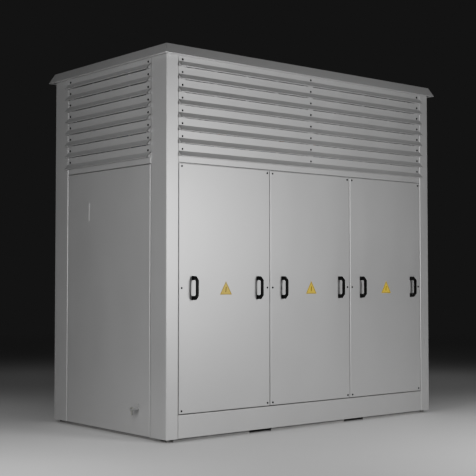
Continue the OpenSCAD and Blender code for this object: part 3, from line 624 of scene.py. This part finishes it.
def louvre_screws(front_xs, front_face, end_xs, end_face):
    bm = bmesh.new()
    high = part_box("louvre_screws")[1].z
    for angle, xs, face in (
        (0, front_xs, front_face), (math.pi, front_xs, front_face),
        (-math.pi / 2, end_xs, end_face), (math.pi / 2, end_xs, end_face),
    ):
        for x in xs:
            for k in range(LOUVRE_COUNT):
                z = high - HEAD_EDGE - k * LOUVRE_PITCH
                place = turned(angle) @ Matrix.Translation((x, -face, z))
                add_screw(bm, place, LOUVRE_SHANK_R, LOUVRE_SHANK_L)
    finished("louvre_screws_domed", bm, "black_fastener", "housing", ["louvre_screws"], 30.0)


def triangle(side_length, inset, radius):
    """Outline of an upright triangle about its box's middle, drawn in by inset."""
    h = side_length * math.sqrt(3) / 2
    low, high = -h / 2 + inset, h / 2 - 2 * inset
    half = (high - low) / math.sqrt(3)
    return rounded([(-half, low), (half, low), (0, high)], [radius] * 3, 6)


def door_label(door):
    """Plain triangular marker plate with a dark edge line and a slanted bar."""
    low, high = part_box(f"warning_label_{door}")
    length = high.x - low.x
    centre = Matrix.Translation(((low.x + high.x) / 2, high.y, (low.z + high.z) / 2))
    film, ink = LABEL_T * 0.8, LABEL_T
    line_out, line_in = 2.5 * MM, 5 * MM
    bar_half_w, bar_low, bar_high, bar_lean = 3 * MM, -26 * MM, 6 * MM, 2 * MM
    bm = bmesh.new()

    def flat(outline, depth, material, hole=None):
        """Lays an outline of (x, z) points on the door, as thick as depth."""
        place = centre @ Matrix.Rotation(math.pi / 2, 4, "X")
        back = [bm.verts.new(place @ Vector((x, z, 0))) for x, z in outline]
        front = [bm.verts.new(place @ Vector((x, z, depth))) for x, z in outline]
        n = len(outline)
        faces = [bm.faces.new((back[i], back[(i + 1) % n], front[(i + 1) % n], front[i])) for i in range(n)]
        if hole is None:
            faces += [bm.faces.new(back[::-1]), bm.faces.new(front)]
        else:
            hole_back = [bm.verts.new(place @ Vector((x, z, 0))) for x, z in hole]
            hole_front = [bm.verts.new(place @ Vector((x, z, depth))) for x, z in hole]
            for i in range(n):
                j = (i + 1) % n
                faces.append(bm.faces.new((hole_back[j], hole_back[i], hole_front[i], hole_front[j])))
                faces.append(bm.faces.new((front[i], front[j], hole_front[j], hole_front[i])))
                faces.append(bm.faces.new((back[j], back[i], hole_back[i], hole_back[j])))
        for face in faces:
            face.material_index = material

    flat(triangle(length, 0, 2 * MM), film, 0)
    flat(triangle(length, line_out, 1.5 * MM), ink, 1, triangle(length, line_in, 1 * MM))
    bar = [
        (-bar_lean - bar_half_w, bar_low), (bar_half_w - bar_lean, bar_low),
        (bar_lean + bar_half_w, bar_high), (bar_lean - bar_half_w, bar_high),
    ]
    flat(bar, ink, 1)
    materials = [MATERIALS["label_film"], MATERIALS["label_dark"]]
    finished(
        f"marker_label_{door}", bm, "label_film", f"front_door_{door}", [f"warning_label_{door}"],
        30.0, materials,
    )


# ---- End fittings ----

def rating_plate():
    """Blank plate with rounded corners and four rivets."""
    low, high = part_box("rating_plate")
    y0, z0 = (low.y + high.y) / 2, (low.z + high.z) / 2
    half_y, half_z = (high.y - low.y) / 2, (high.z - low.z) / 2
    corner, rivet_r, rivet_in = 6 * MM, 2.5 * MM, 9 * MM
    rivet_h, rivet_l = 0.6 * MM, 1.2 * MM
    rivet = [
        (rivet_r * 0.4, 0), (rivet_r * 0.8, rivet_h * 0.35), (rivet_r, rivet_h), (rivet_r, rivet_l),
    ]
    outline = rounded(
        [(y0 - half_y, z0 - half_z), (y0 + half_y, z0 - half_z), (y0 + half_y, z0 + half_z),
         (y0 - half_y, z0 + half_z)], [corner] * 4, 6)
    bm = bmesh.new()
    add_prism(bm, outline, Matrix.Identity(4), low.x + rivet_h, high.x, 0.8 * MM, 3)
    for sy in (-1, 1):
        for sz in (-1, 1):
            place = Matrix.Translation((low.x, y0 + sy * (half_y - rivet_in), z0 + sz * (half_z - rivet_in)))
            stand = place @ Matrix.Rotation(math.pi / 2, 4, "Y")
            add_rings(bm, turned_rings(rivet, stand, 16))
    finished("rating_plate_blank", bm, "plate_aluminium", "housing", ["rating_plate"])


def earth_brackets():
    """Welded angle brackets with softened edges."""
    bm = bmesh.new()
    low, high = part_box("earth_brackets")
    half_w = 0.022
    y = -(high.y - half_w)
    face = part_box("left_side_panel")[0].x
    r = 2 * MM
    points = [
        (low.x, low.z), (face, low.z), (face, high.z), (face - EARTH_T, high.z),
        (face - EARTH_T, low.z + EARTH_T), (low.x, low.z + EARTH_T),
    ]
    outline = rounded(points, [r, 0, r, r, 3 * MM, r], 4)
    for angle in (0, math.pi):
        # the outline's plane is x and z, so the prism runs along y
        place = turned(angle) @ Matrix(((0, 1, 0, 0), (1, 0, 0, 0), (0, 0, 1, 0), (0, 0, 0, 1)))
        add_prism(bm, outline, place, y - half_w, y + half_w, 0.8 * MM, 2)
    finished("earth_brackets_bent", bm, "housing_paint", "housing", ["earth_brackets"])


def earth_bolts():
    """Studs with chamfered nuts and thread grooves."""
    low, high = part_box("earth_bolts")
    nut_r, nut_h, bolt_r = 8.66 * MM, 10 * MM, 6 * MM
    bolt_in, thread_l, point_l = 10 * MM, 20 * MM, 1 * MM
    x = low.x + bolt_in
    y = -(high.y - nut_r)
    pitch = 1.75 * MM
    z = low.z + point_l
    z0 = low.z + thread_l
    profile = [(bolt_r * 0.55, low.z), (bolt_r * 0.85, z)]
    while z + pitch < z0:
        profile += [(bolt_r, z + pitch * 0.4), (bolt_r * 0.86, z + pitch * 0.9)]
        z += pitch
    chamfer = 0.7 * MM
    for start in (z0, high.z - nut_h):
        profile += [
            (nut_r * 0.95, start), (("hex", nut_r), start + chamfer),
            (("hex", nut_r), start + nut_h - chamfer), (nut_r * 0.95, start + nut_h),
            (bolt_r, start + nut_h) if start == z0 else (bolt_r * 0.5, start + nut_h),
        ]
    bm = bmesh.new()
    for angle in (0, math.pi):
        place = turned(angle) @ Matrix.Translation((x, y, 0))
        add_rings(bm, turned_rings(profile, place, 24))
    finished("earth_bolts_threaded", bm, "zinc_steel", "housing", ["earth_bolts"], 30.0)


# ---- Stage, light and camera ----

def floor():
    """Pale floor that fades into the backdrop far behind the object."""
    mesh = bpy.data.meshes.new("floor")
    points = 96
    angles = [2 * math.pi * i / points for i in range(points)]
    ring = [(FLOOR_R * math.cos(a), FLOOR_R * math.sin(a), 0) for a in angles]
    mesh.from_pydata(ring, [], [tuple(range(points))])
    plane = bpy.data.objects.new("floor", mesh)
    bpy.context.scene.collection.objects.link(plane)
    low, high = FLOOR_GREY - 0.005, FLOOR_GREY + 0.005
    s = Shader("floor", (FLOOR_GREY,) * 3, 0.6)
    grain = s.noise(3.0, 6.0)
    s.color(s.tint(s.remap(grain, 0.3, 0.7, 0.0, 1.0), (low,) * 3, (high,) * 3))
    s.bump(s.noise(240.0, 3.0), 0.0001, 0.3)
    s.fade_out(FADE_START, FADE_END)
    mesh.materials.append(s.material)


def area_light(name, place, aim, size, power, spread=180.0):
    data = bpy.data.lights.new(name, "AREA")
    data.shape = "RECTANGLE"
    data.size, data.size_y = size
    data.energy = power
    data.spread = math.radians(spread)
    lamp = bpy.data.objects.new(name, data)
    lamp.location = place
    lamp.rotation_euler = (Vector(aim) - Vector(place)).to_track_quat("-Z", "Y").to_euler()
    lamp.visible_camera = False
    bpy.context.scene.collection.objects.link(lamp)


def lights():
    world = bpy.data.worlds.new("studio")
    world.use_nodes = True
    background = world.node_tree.nodes["Background"]
    background.inputs["Color"].default_value = (BACKDROP_GREY, BACKDROP_GREY, BACKDROP_GREY, 1)
    bpy.context.scene.world = world
    area_light("key", (0.2, -3.5, 1.3), (0.2, 0.0, 1.3), (1.0, 0.8), 68)
    area_light("key_high", (0.2, -3.5, 1.9), (0.2, 0.0, 1.6), (1.0, 0.8), 10)
    area_light("left_rear", (-4.0, -0.5, 1.2), (-1.1, 0.0, 1.0), (1.0, 1.0), 30)
    area_light("left_front", (-3.4, -1.6, 1.9), (-1.1, -0.4, 1.4), (0.8, 0.8), 30)
    # low lamps over the floor, so that it glows only near the object
    for where, x, y, z, power in (
        ("front_right", 0.8, -2.2, 1.6, 4.0), ("right", 2.2, -1.6, 1.6, 4.0), ("left", -2.4, -1.0, 1.6, 6.0),
        ("rear_left", -1.5, 1.7, 1.8, 1.4), ("rear", 0.4, 3.8, 2.2, 0.8), ("rear_right", 3.3, 1.0, 1.8, 0.9),
    ):
        area_light("floor_" + where, (x, y, z), (x, y, 0.0), (1.0, 1.0), power, 110)


def camera():
    """Seen from the front left at chest height, pitched up a little."""
    azimuth, pitch = math.radians(-39.85), math.radians(2.24)
    data = bpy.data.cameras.new("camera")
    data.sensor_width = 36
    data.lens = 81.12
    eye = bpy.data.objects.new("camera", data)
    eye.location = (-4.766, -5.603, 0.933)
    level = math.cos(pitch)
    ahead = Vector((-math.sin(azimuth) * level, math.cos(azimuth) * level, math.sin(pitch)))
    eye.rotation_euler = ahead.to_track_quat("-Z", "Y").to_euler()
    bpy.context.scene.collection.objects.link(eye)
    bpy.context.scene.camera = eye


# ---- Assembly ----

def paint_cad_nodes():
    """Gives every carried-over CAD node the material of its slot."""
    for part in frame["record"]["subparts"]:
        node = frame["nodes"][part["node"]]
        if not node.material_slots:
            node.data.materials.append(None)
        for slot in node.material_slots:
            slot.material = MATERIALS[part["material_slot"]]


def clad_housing():
    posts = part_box("front_corner_posts")
    half_w, half_d = posts[1].x, -posts[0].y
    front_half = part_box("front_louvre_slats")[1].x
    side_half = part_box("side_louvre_slats")[1].y
    louvre_slats("front_louvre_slats", (0,), front_half, half_d)
    louvre_slats("rear_louvre_slats", (math.pi,), front_half, half_d)
    louvre_slats("side_louvre_slats", (-math.pi / 2, math.pi / 2), side_half, half_w)
    front_x, side_x = front_half - LOUVRE_SCREW_IN, side_half - LOUVRE_SCREW_IN
    louvre_screws((-front_x, 0, front_x), half_d, (-side_x, side_x), half_w)
    roof_piece()
    rating_plate()
    earth_brackets()
    earth_bolts()


def fit_doors():
    for side in SIDES:
        for door in DOORS:
            handles(side, door)
            door_screws(side, door)
    for door in DOORS:
        door_label(door)


MATERIALS = all_materials()
camera()
lights()
floor()
paint_cad_nodes()
clad_housing()
fit_doors()
